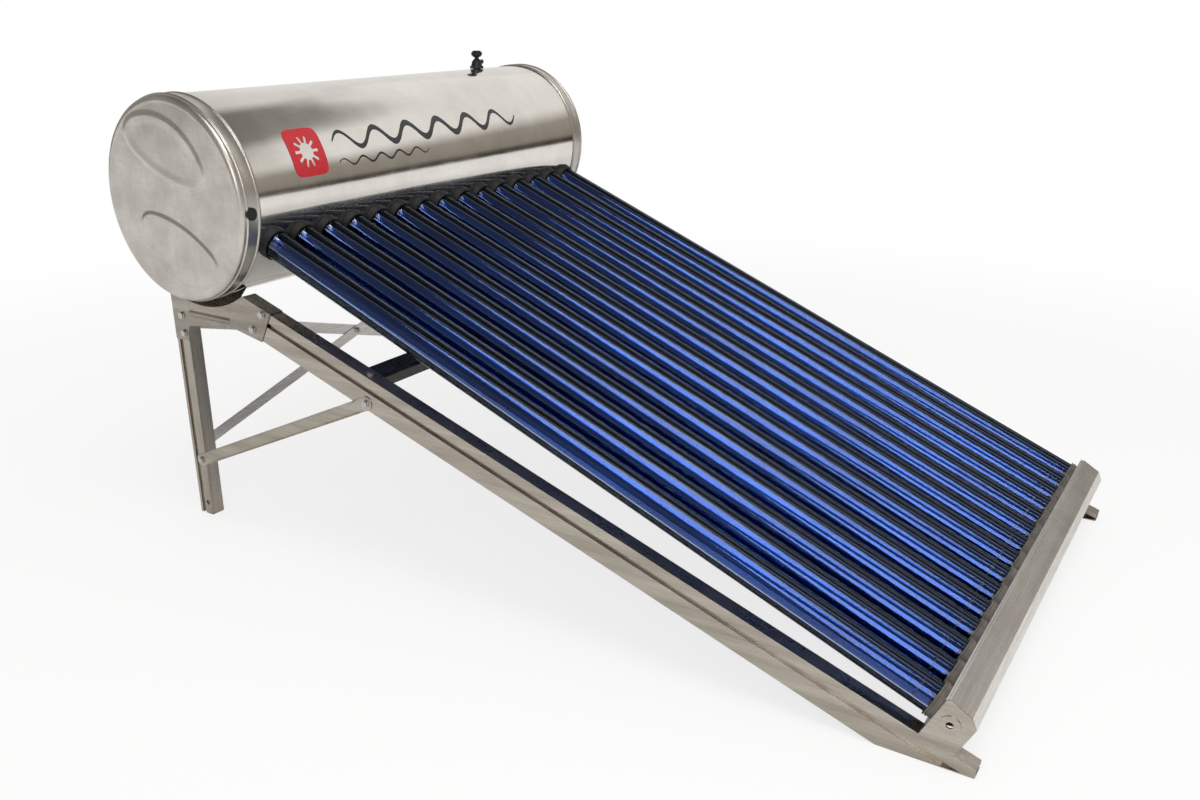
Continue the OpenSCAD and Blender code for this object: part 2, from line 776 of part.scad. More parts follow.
module frame_nuts() {
    color([0.78, 0.78, 0.80]) each_fastener(true);
}

// ---------- evacuated tubes ----------

tube_nub = 8;      // room in the cup for the glass seal at the tube's end

// Straight tube closed by a round end at z = far.
module test_tube(d, near, far) {
    r = d / 2;
    translate([0, 0, near]) cylinder(d = d, h = far - near - r);
    translate([0, 0, far - r]) sphere(r = r);
}

// Outer glass, open at the top and rounded at its closed end.
module tube_glass(i) {
    round_end = tube_tip - tube_nub;
    color([0.10, 0.18, 0.45]) along_tube(i) difference() {
        test_tube(tube_d, tube_top, round_end);
        test_tube(tube_d - 2 * tube_wall, tube_top - 1, round_end - tube_wall);
    }
}

// Coated inner glass, joined to the outer glass by a flared rim, with the
// spring clip that centres its closed end.
module tube_absorber(i) {
    clip_at = tube_tip - 78;
    round_end = tube_tip - 30;
    color([0.05, 0.08, 0.25]) along_tube(i) {
        difference() {
            test_tube(absorber_d, tube_top, round_end);
            test_tube(absorber_d - 2 * absorber_wall, tube_top - 1, round_end - absorber_wall);
        }
        difference() {
            translate([0, 0, clip_at]) cylinder(d = tube_d - 2 * tube_wall - 2 * clear, h = 6);
            translate([0, 0, clip_at - 1]) cylinder(d = absorber_d + 2 * clear, h = 8);
        }
    }
}

// ---------- the pieces ----------

stand() outer_shell();
stand() end_cap(-1);  // end_cap_left
stand() end_cap(1);  // end_cap_right
stand() insulation();
stand() inner_tank();
stand() dust_rings();
stand() tank_seals();
stand() cold_inlet();
stand() hot_outlet();
stand() sensor_plug();
stand() vent_body();
stand() vent_knob();
stand() anode_rod();
stand() rear_leg(-1);  // rear_leg_left
stand() rear_leg(1);  // rear_leg_right
stand() front_leg(-1);  // front_leg_left
stand() front_leg(1);  // front_leg_right
stand() tank_bracket(-1);  // tank_bracket_left
stand() tank_bracket(1);  // tank_bracket_right
stand() side_brace(-1);  // side_brace_left
stand() side_brace(1);  // side_brace_right
stand() cross_bar(true, 0);  // cross_bar_rising
stand() cross_bar(false, 1);  // cross_bar_falling
stand() front_tie();
stand() rail_end(-1);  // rail_end_left
stand() rail_end(1);  // rail_end_right
stand() tail_rail();
stand() tube_cups();
stand() frame_bolts();
stand() frame_nuts();
for (i = [1:tube_count]) {
    stand() tube_glass(i);
    stand() tube_absorber(i);
}
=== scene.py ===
"""The looks of the solar water heater: finishes for the CAD pieces, and the
pressed end caps, coated inner tubes, centring clips, nipple threads and tank
marking as meshes."""

import json
import math

import bmesh
import bpy
from mathutils import Matrix, Vector


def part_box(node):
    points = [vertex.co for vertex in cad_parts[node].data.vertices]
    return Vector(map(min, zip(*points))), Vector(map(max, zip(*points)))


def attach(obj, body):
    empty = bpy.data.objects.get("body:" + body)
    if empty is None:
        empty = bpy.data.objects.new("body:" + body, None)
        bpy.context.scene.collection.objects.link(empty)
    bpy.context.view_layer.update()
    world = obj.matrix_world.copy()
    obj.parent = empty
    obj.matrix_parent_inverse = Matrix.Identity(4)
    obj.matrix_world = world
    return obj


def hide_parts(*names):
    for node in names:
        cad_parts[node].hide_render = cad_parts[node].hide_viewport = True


MM = 0.001

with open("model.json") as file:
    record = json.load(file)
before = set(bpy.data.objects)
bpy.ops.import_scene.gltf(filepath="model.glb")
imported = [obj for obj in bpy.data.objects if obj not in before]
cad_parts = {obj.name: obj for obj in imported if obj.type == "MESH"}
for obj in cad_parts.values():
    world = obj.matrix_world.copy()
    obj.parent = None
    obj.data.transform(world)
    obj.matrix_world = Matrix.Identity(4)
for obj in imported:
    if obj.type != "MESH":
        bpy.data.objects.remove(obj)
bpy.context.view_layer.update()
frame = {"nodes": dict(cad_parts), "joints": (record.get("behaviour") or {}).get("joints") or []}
nodes = frame["nodes"]
STAND = "tank_and_stand"


# ---------- places and sizes, from the frame where it holds them ----------

shell_low, shell_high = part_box("outer_shell")
cap_low, cap_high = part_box("end_cap_left")
AXIS_Y = (shell_low.y + shell_high.y) / 2
AXIS_Z = (shell_low.z + shell_high.z) / 2
SHELL_R = (shell_high.z - shell_low.z) / 2
CAP_R = (cap_high.z - cap_low.z) / 2
BEAD = 2.4 * MM  # how far the beads and the leaves stand out
CAP_ROUND = 11 * MM  # the rounding between the cap's face and its skirt
SKIN_R = CAP_R - BEAD
CAP_FACE = -cap_low.x - BEAD
CAP_DEPTH = CAP_FACE + cap_high.x
# each leaf is where two circles overlap: centre across, centre up, radius, in shell radii
LEAF_CIRCLES = ((-0.20, 0.05, 0.80), (0.46, 1.65, 1.54))
TUBE_COUNT = sum(name.startswith("tube_glass_") for name in nodes)
FILM_R = 23.5 * MM  # the coated inner glass, as in the CAD
FILM_WALL = 1.6 * MM
TIP_GAP = 22 * MM  # from the outer glass's tip to the inner one's
CLIP_BACK = 67 * MM  # from the outer glass's tip to the clip
slide = frame["joints"][-1]["axis"]
TILT = math.atan2(abs(slide[2]), abs(slide[1]))
LEG_TILT = math.radians(18.8)  # the front legs' slope, which their drawn lines follow


# ---------- small tools ----------


def linear(code):
    """A linear colour from an sRGB hex code such as "C8C4BC"."""
    channels = [int(code[i:i + 2], 16) / 255 for i in (0, 2, 4)]
    return tuple(
        c / 12.92 if c <= 0.04045 else ((c + 0.055) / 1.055) ** 2.4 for c in channels
    ) + (1.0,)


def add(tree, kind, inputs=None, **settings):
    """Adds a node; an input given a socket is linked, any other is set."""
    node = tree.nodes.new(kind)
    for name, value in settings.items():
        setattr(node, name, value)
    for key, value in (inputs or {}).items():
        if isinstance(value, bpy.types.NodeSocket):
            tree.links.new(value, node.inputs[key])
        else:
            node.inputs[key].default_value = value
    return node


def start_material(name):
    """An empty material with its output and a Principled shader joined up."""
    material = bpy.data.materials.new(name)
    material.use_nodes = True
    tree = material.node_tree
    tree.nodes.clear()
    shader = add(tree, "ShaderNodeBsdfPrincipled")
    add(tree, "ShaderNodeOutputMaterial", {"Surface": shader.outputs[0]})
    return material, tree, shader


def place(tree, rotation=(0, 0, 0), scale=(1, 1, 1)):
    """Object coordinates, turned and scaled."""
    coords = add(tree, "ShaderNodeTexCoord")
    return add(tree, "ShaderNodeMapping", {
        "Vector": coords.outputs["Object"],
        "Rotation": rotation,
        "Scale": scale,
    }).outputs[0]


def noise(tree, vector, size_mm, detail=4, roughness=0.5):
    """Noise with blotches of about the given size."""
    return add(tree, "ShaderNodeTexNoise", {
        "Vector": vector,
        "Scale": 1000 / size_mm,
        "Detail": detail,
        "Roughness": roughness,
    }).outputs[0]


def span(tree, value, low, high, from_low=0.3, from_high=0.7):
    """Stretches a value to a new range."""
    return add(tree, "ShaderNodeMapRange", {
        "Value": value,
        "From Min": from_low,
        "From Max": from_high,
        "To Min": low,
        "To Max": high,
    }).outputs[0]


def mix(tree, factor, first, second):
    """Mixes two colours."""
    node = add(tree, "ShaderNodeMix", data_type="RGBA")
    for key, value in ((0, factor), (6, first), (7, second)):
        if isinstance(value, bpy.types.NodeSocket):
            tree.links.new(value, node.inputs[key])
        else:
            node.inputs[key].default_value = value
    return node.outputs[2]


def join(tree, value, socket):
    """Links a value to a shader's socket."""
    tree.links.new(value, socket)


def bump(tree, height, depth_mm, strength=1.0, normal=None):
    """A bump of a real depth."""
    inputs = {"Height": height, "Distance": depth_mm * MM, "Strength": strength}
    if normal is not None:
        inputs["Normal"] = normal
    return add(tree, "ShaderNodeBump", inputs).outputs[0]


def soft_edges(tree, radius_mm):
    """Normals that turn round a folded or cut edge."""
    return add(tree, "ShaderNodeBevel", {"Radius": radius_mm * MM}, samples=4).outputs[0]


# ---------- finishes ----------


def polished_stainless():
    """AISI 304 sheet, mirror-polished and rolled: faint waves round the shell
    bend what it reflects, with long wipe marks and a few soft smudges."""
    material, tree, shader = start_material("polished_stainless_sheet")
    shader.inputs["Metallic"].default_value = 1.0
    waves = noise(tree, place(tree, scale=(1, 0.45, 0.45)), 190, 1)
    wipes = noise(tree, place(tree, scale=(0.06, 1, 1)), 4, 6, 0.6)
    smudge = noise(tree, place(tree), 110, 5, 0.6)
    join(tree, mix(tree, span(tree, smudge, 0, 1), linear("D2CDC6"), linear("E2DED8")),
         shader.inputs["Base Color"])
    rough = add(tree, "ShaderNodeMath", {
        0: span(tree, wipes, 0.05, 0.11), 1: span(tree, smudge, 0, 0.06),
    }, operation="ADD").outputs[0]
    join(tree, rough, shader.inputs["Roughness"])
    rolled = bump(tree, waves, 1.2)
    join(tree, bump(tree, wipes, 0.02, 0.3, rolled), shader.inputs["Normal"])
    return material


def cap_steel():
    """AISI 304 blank, deep-pressed and then brushed by hand: duller than the
    shell, with short crossing scratches and a cloudy, slightly warm bloom."""
    material, tree, shader = start_material("brushed_pressed_stainless")
    shader.inputs["Metallic"].default_value = 1.0
    along = noise(tree, place(tree, scale=(1, 0.05, 1)), 2.2, 5, 0.65)
    across = noise(tree, place(tree, rotation=(0.5, 0, 0), scale=(1, 1, 0.07)), 2.6, 5, 0.65)
    cloud = noise(tree, place(tree), 70, 4, 0.55)
    scratches = mix(tree, 0.5, along, across)
    tone = mix(tree, span(tree, cloud, 0, 1), linear("BBB6AE"), linear("DDD8D1"))
    join(tree, mix(tree, span(tree, scratches, 0, 0.35), tone, linear("9C968D")),
         shader.inputs["Base Color"])
    join(tree, span(tree, scratches, 0.26, 0.42), shader.inputs["Roughness"])
    join(tree, bump(tree, scratches, 0.05, 0.6), shader.inputs["Normal"])
    return material


def folded_stainless(name, turn=0.0, stretch=(1, 0.03, 1), low="A0988D", high="C6BFB5"):
    """AISI 430 strip as rolled, folded on a brake: drawn lines run along the
    strip, the folds are rounded and handling has left slightly duller streaks."""
    material, tree, shader = start_material(name)
    shader.inputs["Metallic"].default_value = 1.0
    lines = noise(tree, place(tree, rotation=(turn, 0, 0), scale=stretch), 2.4, 5, 0.6)
    streaks = noise(tree, place(tree, rotation=(turn, 0, 0), scale=stretch), 22, 3, 0.5)
    patches = noise(tree, place(tree), 120, 4, 0.5)
    tone = mix(tree, span(tree, streaks, 0, 1), linear(low), linear(high))
    aged = mix(tree, span(tree, patches, 0, 0.35), tone, linear(high))
    join(tree, mix(tree, span(tree, lines, 0, 0.3), aged, linear("6F675D")),
         shader.inputs["Base Color"])
    rough = add(tree, "ShaderNodeMath", {
        0: span(tree, lines, 0.2, 0.3), 1: span(tree, patches, 0.0, 0.08),
    }, operation="ADD").outputs[0]
    join(tree, rough, shader.inputs["Roughness"])
    join(tree, bump(tree, lines, 0.04, 0.4, soft_edges(tree, 1.2)), shader.inputs["Normal"])
    return material


def turned_stainless():
    """A2 stainless fasteners, cold-headed and tumbled: bright, fine grained."""
    material, tree, shader = start_material("tumbled_stainless_fastener")
    shader.inputs["Metallic"].default_value = 1.0
    grain = noise(tree, place(tree), 1.2, 3)
    join(tree, mix(tree, span(tree, grain, 0, 1), linear("A9A7A3"), linear("D0CEC9")),
         shader.inputs["Base Color"])
    join(tree, span(tree, grain, 0.2, 0.34), shader.inputs["Roughness"])
    join(tree, bump(tree, grain, 0.03, 0.5, soft_edges(tree, 0.5)), shader.inputs["Normal"])
    return material


def clear_glass():
    """Borosilicate 3.3 tube, drawn: a thin clear wall whose two faces mirror by
    Fresnel's law, most at a glancing angle, and let the rest straight through.
    What it mirrors is tinted a little blue: a painted sheen that stands in for the
    coated glass just behind it. A trace of dust softens the highlights here and there."""
    material, tree, shader = start_material("borosilicate_glass")
    shader.inputs["Metallic"].default_value = 1.0
    # the blue base colour tints every reflection: painted sheen standing in for the coated glass
    # behind
    shader.inputs["Base Color"].default_value = linear("BFD0EE")
    mirrored = add(tree, "ShaderNodeFresnel", {"IOR": 1.473}).outputs[0]
    join(tree, mirrored, shader.inputs["Alpha"])
    dust = noise(tree, place(tree), 60, 4, 0.6)
    join(tree, span(tree, dust, 0.01, 0.05), shader.inputs["Roughness"])
    return material


def absorbing_coating():
    """Sputtered aluminium nitride on glass: a dark metallic navy film whose
    blue shifts a little where the film is thicker."""
    material, tree, shader = start_material("sputtered_absorber_film")
    shader.inputs["Metallic"].default_value = 1.0
    film = noise(tree, place(tree, rotation=(-TILT, 0, 0), scale=(1, 0.15, 1)), 90, 3)
    fine = noise(tree, place(tree, rotation=(-TILT, 0, 0), scale=(1, 0.1, 1)), 40, 3)
    join(tree, mix(tree, span(tree, film, 0, 1), linear("09296C"), linear("134095")),
         shader.inputs["Base Color"])
    join(tree, span(tree, fine, 0.11, 0.15), shader.inputs["Roughness"])
    return material


def spring_steel():
    """Spring strip of the clip that centres the inner glass, baked dull."""
    material, tree, shader = start_material("baked_spring_strip")
    shader.inputs["Metallic"].default_value = 1.0
    grain = noise(tree, place(tree), 2, 4)
    join(tree, mix(tree, span(tree, grain, 0, 1), linear("2C3350"), linear("474E68")),
         shader.inputs["Base Color"])
    join(tree, span(tree, grain, 0.3, 0.42), shader.inputs["Roughness"])
    return material


def rubber(name, low, high, size_mm=1.5):
    """Moulded rubber: matt, faintly grained, with a greyish bloom."""
    material, tree, shader = start_material(name)
    bloom = noise(tree, place(tree), 14, 5, 0.6)
    grain = noise(tree, place(tree), size_mm, 3)
    join(tree, mix(tree, span(tree, bloom, 0, 1), linear(low), linear(high)),
         shader.inputs["Base Color"])
    join(tree, span(tree, grain, 0.48, 0.7), shader.inputs["Roughness"])
    join(tree, bump(tree, grain, 0.12, 0.6, soft_edges(tree, 0.8)), shader.inputs["Normal"])
    return material


def moulded_plastic(name, low, high, roughness=(0.32, 0.46)):
    """Injection-moulded polypropylene: spark-eroded grain and slight sinks."""
    material, tree, shader = start_material(name)
    sinks = noise(tree, place(tree), 18, 4)
    grain = noise(tree, place(tree), 0.9, 3)
    join(tree, mix(tree, span(tree, sinks, 0, 1), linear(low), linear(high)),
         shader.inputs["Base Color"])
    join(tree, span(tree, sinks, *roughness), shader.inputs["Roughness"])
    join(tree, bump(tree, grain, 0.06, 0.5, soft_edges(tree, 0.6)), shader.inputs["Normal"])
    return material


def turned_brass():
    """CW617N brass nipple, turned: fine rings round it, dulled to ochre."""
    material, tree, shader = start_material("turned_brass")
    shader.inputs["Metallic"].default_value = 1.0
    rings = noise(tree, place(tree, scale=(0.05, 1, 0.05)), 0.8, 3)
    tarnish = noise(tree, place(tree), 16, 5, 0.6)
    join(tree, mix(tree, span(tree, tarnish, 0, 1), linear("A98446"), linear("CFAE67")),
         shader.inputs["Base Color"])
    join(tree, span(tree, tarnish, 0.42, 0.24), shader.inputs["Roughness"])
    join(tree, bump(tree, rings, 0.05, 0.5, soft_edges(tree, 0.4)), shader.inputs["Normal"])
    return material


def foam():
    """Rigid polyurethane foam, poured: straw yellow with an open skin."""
    material, tree, shader = start_material("poured_polyurethane_foam")
    cells = noise(tree, place(tree), 3, 5, 0.7)
    join(tree, mix(tree, span(tree, cells, 0, 1), linear("D8BE7C"), linear("EFDCA4")),
         shader.inputs["Base Color"])
    shader.inputs["Roughness"].default_value = 0.9
    join(tree, bump(tree, cells, 0.6), shader.inputs["Normal"])
    return material


def cast_anode():
    """Cast magnesium rod: dull grey, slightly pitted."""
    material, tree, shader = start_material("cast_magnesium")
    shader.inputs["Metallic"].default_value = 1.0
    pits = noise(tree, place(tree), 4, 5, 0.6)
    join(tree, mix(tree, span(tree, pits, 0, 1), linear("8B8C8E"), linear("AFB0B2")),
         shader.inputs["Base Color"])
    join(tree, span(tree, pits, 0.45, 0.65), shader.inputs["Roughness"])
    join(tree, bump(tree, pits, 0.2), shader.inputs["Normal"])
    return material


def vinyl(name, low, high):
    """Printed vinyl film: even colour under a soft satin gloss."""
    material, tree, shader = start_material(name)
    print_grain = noise(tree, place(tree), 6, 4)
    join(tree, mix(tree, span(tree, print_grain, 0, 1), linear(low), linear(high)),
         shader.inputs["Base Color"])
    join(tree, span(tree, print_grain, 0.28, 0.4), shader.inputs["Roughness"])
    return material


# ---------- mesh tools ----------


def piece(name, mesh, material, body, replaces=()):
    obj = bpy.data.objects.new(name, mesh)
    bpy.context.scene.collection.objects.link(obj)
    if not mesh.materials:
        mesh.materials.append(material)
    for polygon in mesh.polygons:
        polygon.use_smooth = True
    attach(obj, body)
    if replaces:
        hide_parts(*replaces)
    return obj


def mesh_from(name, verts, faces):
    """A mesh with its faces turned outwards."""
    bm = bmesh.new()
    made = [bm.verts.new(v) for v in verts]
    for face in faces:
        bm.faces.new([made[i] for i in face])
    bmesh.ops.remove_doubles(bm, verts=bm.verts, dist=1e-7)
    bmesh.ops.recalc_face_normals(bm, faces=bm.faces)
    mesh = bpy.data.meshes.new(name)
    bm.to_mesh(mesh)
    bm.free()
    return mesh


def grid_faces(rows, columns, offset=0, wrap=True):
    """Quads between rows of points; the columns close up when wrap is set."""
    faces = []
    last = columns if wrap else columns - 1
    for r in range(rows - 1):
        for c in range(last):
            n = (c + 1) % columns
            faces.append((
                offset + r * columns + c, offset + r * columns + n,
                offset + (r + 1) * columns + n, offset + (r + 1) * columns + c,
            ))
    return faces


def smooth(value, low, high):
    """Smoothstep from 0 at low to 1 at high."""
    t = min(1.0, max(0.0, (value - low) / (high - low)))
    return t * t * (3 - 2 * t)


def node_group(name, inputs, material):
    """A Geometry Nodes group with named number inputs that ends by realizing
    its instances and setting the material; returns it with a joiner for it."""
    group = bpy.data.node_groups.new(name, "GeometryNodeTree")
    for label, value in inputs.items():
        kind = "NodeSocketInt" if isinstance(value, int) else "NodeSocketFloat"
        group.interface.new_socket(label, in_out="INPUT", socket_type=kind)
    group.interface.new_socket("Geometry", in_out="OUTPUT", socket_type="NodeSocketGeometry")
    given = group.nodes.new("NodeGroupInput")
    real = group.nodes.new("GeometryNodeRealizeInstances")
    paint = add(group, "GeometryNodeSetMaterial", {
        "Geometry": real.outputs[0], "Material": material,
    })
    result = group.nodes.new("NodeGroupOutput")
    group.links.new(paint.outputs[0], result.inputs[0])
    return group, given.outputs, real.inputs[0]


def grown_mesh(name, group, inputs):
    """Runs a node group with the given inputs and keeps the plain mesh it makes."""
    holder = bpy.data.objects.new(name + "_source", bpy.data.meshes.new(name + "_source"))
    bpy.context.scene.collection.objects.link(holder)
    modifier = holder.modifiers.new("grow", "NODES")
    modifier.node_group = group
    for item in group.interface.items_tree:
        if item.in_out == "INPUT":
            modifier[item.identifier] = inputs[item.name]
    bpy.context.view_layer.update()
    evaluated = holder.evaluated_get(bpy.context.evaluated_depsgraph_get())
    mesh = bpy.data.meshes.new_from_object(evaluated)
    bpy.data.objects.remove(holder)
    mesh.name = name
    return mesh


def moved(mesh, matrix):
    """A copy of a mesh, moved by a matrix, its normals outwards."""
    copy = mesh.copy()
    bm = bmesh.new()
    bm.from_mesh(copy)
    bmesh.ops.transform(bm, matrix=matrix, verts=bm.verts)
    bmesh.ops.recalc_face_normals(bm, faces=bm.faces)
    bm.to_mesh(copy)
    bm.free()
    return copy


# ---------- end caps ----------


def leaf_height(across, up):
    """How far the two pressed leaves stand out at a place on the cap's face:
    a soft step up all round, then a slight dish inside."""
    best, rounding = 0.0, 60 * MM
    for sign in (1, -1):
        px, pz = sign * across / SHELL_R, sign * up / SHELL_R
        outer, lower = (
            SHELL_R * (radius - math.hypot(px - cx, pz - cz)) for cx, cz, radius in LEAF_CIRCLES
        )
        meet = max(rounding - abs(outer - lower), 0.0)
        inside = min(outer, lower) - meet * meet / (4 * rounding)
        step = smooth(inside, 0.0, 6 * MM) - 0.35 * smooth(inside, 7 * MM, 26 * MM)
        best = max(best, step)
    return best


def end_cap(side, name, node):
    """Pressed cap: face with two leaves, rounded edge, skirt with two beads."""
    columns, face_rings, bead_steps = 288, 64, 12
    sheet, bead_length = 1.0 * MM, 8 * MM
    flat_r = SKIN_R - CAP_ROUND
    face = CAP_FACE - 0.3 * MM
    rings = [(flat_r * r / face_rings, face, True) for r in range(face_rings)]
    for turn in range(0, 91, 9):
        a = math.radians(turn)
        rings.append((flat_r + CAP_ROUND * math.sin(a),
                      CAP_FACE - CAP_ROUND * (1 - math.cos(a)), False))
    for start in (CAP_ROUND + 1 * MM, CAP_DEPTH - bead_length - 1 * MM):
        for step in range(bead_steps + 1):
            t = step / bead_steps
            rings.append((SKIN_R + BEAD * math.sin(math.pi * t) ** 2,
                          CAP_FACE - start - t * bead_length, False))
    mouth = CAP_FACE - CAP_DEPTH
    rings.append((SKIN_R - 0.2 * MM, mouth, False))
    rings.append((SKIN_R - sheet, mouth, False))
    rings.append((SKIN_R - sheet, CAP_FACE - CAP_ROUND, False))
    rings.append((flat_r, CAP_FACE - 2 * MM, False))
    rings.append((0.0, CAP_FACE - 2 * MM, False))
    verts = []
    for radius, x, pressed in rings:
        for c in range(columns):
            a = 2 * math.pi * c / columns
            y, z = radius * math.cos(a), radius * math.sin(a)
            lift = leaf_height(-y, z) * BEAD if pressed else 0.0
            verts.append((side * (x + lift), AXIS_Y + y, AXIS_Z + z))
    mesh = mesh_from(name, verts, grid_faces(len(rings), columns))
    return piece(name, mesh, cap_finish, STAND, [node])


# ---------- tubes ----------


def tube_point(x, t, radius, angle):
    """A point round a tube's axis, t along it from the tank's axis."""
    off = radius * math.cos(angle)
    return (
        x + radius * math.sin(angle),
        AXIS_Y - t * math.cos(TILT) - off * math.sin(TILT),
        AXIS_Z - t * math.sin(TILT) + off * math.cos(TILT),
    )


def tube_span(index):
    """The tube's centre in X and where its film starts and its glass ends."""
    low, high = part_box(f"tube_absorber_{index}")
    glass_low, glass_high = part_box(f"tube_glass_{index}")
    radius = (glass_high.x - glass_low.x) / 2
    start = (AXIS_Y - high.y + FILM_R * math.sin(TILT)) / math.cos(TILT)
    end = (AXIS_Y - glass_low.y - radius) / math.cos(TILT) + radius
    return (low.x + high.x) / 2, start, end


def inner_tube(index):
    """Coated inner glass with its closed, rounded end."""
    x, start, end = tube_span(index)
    columns, lengths, arc_steps = 48, 24, 8
    inner = FILM_R - FILM_WALL
    dome = end - TIP_GAP - FILM_R  # where the rounded end starts
    rings = [(start, inner), (start, FILM_R)]
    rings += [(start + (dome - start) * k / lengths, FILM_R) for k in range(1, lengths + 1)]
    outwards = [(k, FILM_R) for k in range(1, arc_steps + 1)]
    inwards = [(k, inner) for k in range(arc_steps, -1, -1)]
    for k, radius in outwards + inwards:
        a = math.pi / 2 * k / arc_steps
        rings.append((dome + radius * math.sin(a), max(radius * math.cos(a), 1e-6)))
    rings.append((start, inner))
    verts = [
        tube_point(x, t, r, 2 * math.pi * c / columns)
        for t, r in rings for c in range(columns)
    ]
    name = f"inner_tube_{index}"
    mesh = mesh_from(name, verts, grid_faces(len(rings), columns))
    return piece(name, mesh, absorber_finish, f"tube_{index}",
                 [f"tube_absorber_{index}"])


def clip_group():
    """Band round the inner glass with fingers that press on the outer glass."""
    inputs = {"Fingers": 6, "Radius": 24.0 * MM, "Reach": 2.2 * MM, "Width": 3.0 * MM}
    group, given, result = node_group("centring_clip_ring", inputs, clip_finish)
    band = add(group, "GeometryNodeMeshCylinder", {
        "Vertices": 48, "Radius": given["Radius"], "Depth": given["Width"],
    }, fill_type="NONE")
    ring = add(group, "GeometryNodeMeshCircle", {
        "Vertices": given["Fingers"], "Radius": given["Radius"],
    })
    outward = add(group, "GeometryNodeInputPosition")
    aim = add(group, "FunctionNodeAlignRotationToVector", {"Vector": outward.outputs[0]}, axis="X")
    finger = add(group, "GeometryNodeMeshUVSphere", {"Segments": 16, "Rings": 10, "Radius": 1.0})
    size = add(group, "ShaderNodeCombineXYZ", {
        "X": given["Reach"], "Y": 3.0 * MM, "Z": given["Width"],
    })
    shaped = add(group, "GeometryNodeTransform", {
        "Geometry": finger.outputs[0], "Scale": size.outputs[0],
    })
    fingers = add(group, "GeometryNodeInstanceOnPoints", {
        "Points": ring.outputs[0], "Instance": shaped.outputs[0], "Rotation": aim.outputs[0],
    })
    both = group.nodes.new("GeometryNodeJoinGeometry")
    group.links.new(band.outputs[0], both.inputs[0])
    group.links.new(fingers.outputs[0], both.inputs[0])
    group.links.new(both.outputs[0], result)
    return group, inputs


def centring_clip(index, mesh):
    """One clip, set square on its tube just above the closed end's cup."""
    x, _, end = tube_span(index)
    centre = tube_point(x, end - CLIP_BACK, 0.0, 0.0)
    turn = Matrix.Rotation(math.pi / 2 + TILT, 4, "X")
    name = f"centring_clip_{index}"
    return piece(name, moved(mesh, Matrix.Translation(centre) @ turn), clip_finish,
                 f"tube_{index}")


# ---------- nipples ----------


def thread_group():
    """A screw thread's crest: a thin round bead wound along a helix."""
    inputs = {"Turns": 9.0, "Radius": 16.1 * MM, "Length": 21.0 * MM, "Crest": 0.85 * MM}
    group, given, result = node_group("screw_thread", inputs, finishes["cold_inlet"])
    helix = add(group, "GeometryNodeCurveSpiral", {
        "Resolution": 64, "Rotations": given["Turns"], "Start Radius": given["Radius"],
        "End Radius": given["Radius"], "Height": given["Length"],
    })
    crest = add(group, "GeometryNodeCurvePrimitiveCircle", {
        "Resolution": 8, "Radius": given["Crest"],
    })
    wound = add(group, "GeometryNodeCurveToMesh", {
        "Curve": helix.outputs[0], "Profile Curve": crest.outputs[0], "Fill Caps": True,
    })
    group.links.new(wound.outputs[0], result)
    return group, inputs


def nipple_thread(name, node, mesh):
    """The thread on the free end of a water nipple."""
    low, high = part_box(node)
    centre = ((low.x + high.x) / 2, high.y - 1.2 * MM, (low.z + high.z) / 2)
    turn = Matrix.Rotation(math.pi / 2, 4, "X")
    return piece(name, moved(mesh, Matrix.Translation(centre) @ turn), finishes["cold_inlet"],
                 STAND)


# ---------- marking on the tank ----------


def on_shell(x, arc, lift=0.25 * MM):
    """A place on the shell's front, arc above the level of its axis."""
    angle = arc / SHELL_R
    radius = SHELL_R + lift
    return (x, AXIS_Y - radius * math.cos(angle), AXIS_Z + radius * math.sin(angle))


def face_outwards(mesh):
    """Turns a patch of film over if it faces the tank instead of the room."""
    first = mesh.polygons[0]
    if first.normal.dot(Vector((0, first.center.y - AXIS_Y, first.center.z - AXIS_Z))) < 0:
        mesh.flip_normals()
    return mesh


def sun_tile(centre_x, centre_arc, half):
    """A rounded square with a plain sun left open in its middle."""
    verts, columns, rows = [], 192, 9
    rays, squareness = 10, 6
    for r in range(rows):
        for c in range(columns):
            a = 2 * math.pi * c / columns
            ca, sa = abs(math.cos(a)), abs(math.sin(a))
            outer = half / (ca ** squareness + sa ** squareness) ** (1 / squareness)
            ray = 0.5 + 0.5 * math.cos(rays * a)
            inner = half * (0.36 + 0.3 * smooth(ray, 0.55, 0.8))
            radius = inner + (outer - inner) * r / (rows - 1)
            verts.append(on_shell(
                centre_x + radius * math.cos(a), centre_arc + radius * math.sin(a),
            ))
    mesh = mesh_from("sun_tile", verts, grid_faces(rows, columns))
    return piece("sun_tile", face_outwards(mesh), red_vinyl, STAND)


def wave(name, x_from, x_to, arc, swing, length, width):
    """A wavy band of film that follows the shell and thins out at its ends."""
    columns, rows = 160, 5
    verts = []
    for r in range(rows):
        for c in range(columns):
            t = c / (columns - 1)
            half = width / 2 * (0.25 + 0.75 * math.sin(math.pi * t) ** 0.5)
            x = x_from + (x_to - x_from) * t
            middle = arc + swing * math.sin(2 * math.pi * (x - x_from) / length)
            verts.append(on_shell(x, middle + half * (2 * r / (rows - 1) - 1)))
    mesh = mesh_from(name, verts, grid_faces(rows, columns, wrap=False))
    return piece(name, face_outwards(mesh), dark_vinyl, STAND)


# ---------- the heater ----------

cap_finish = cap_steel()
absorber_finish = absorbing_coating()
clip_finish = spring_steel()
red_vinyl = vinyl("red_vinyl_film", "B31622", "C81E2B")
dark_vinyl = vinyl("charcoal_vinyl_film", "1E1E22", "2A2A2F")

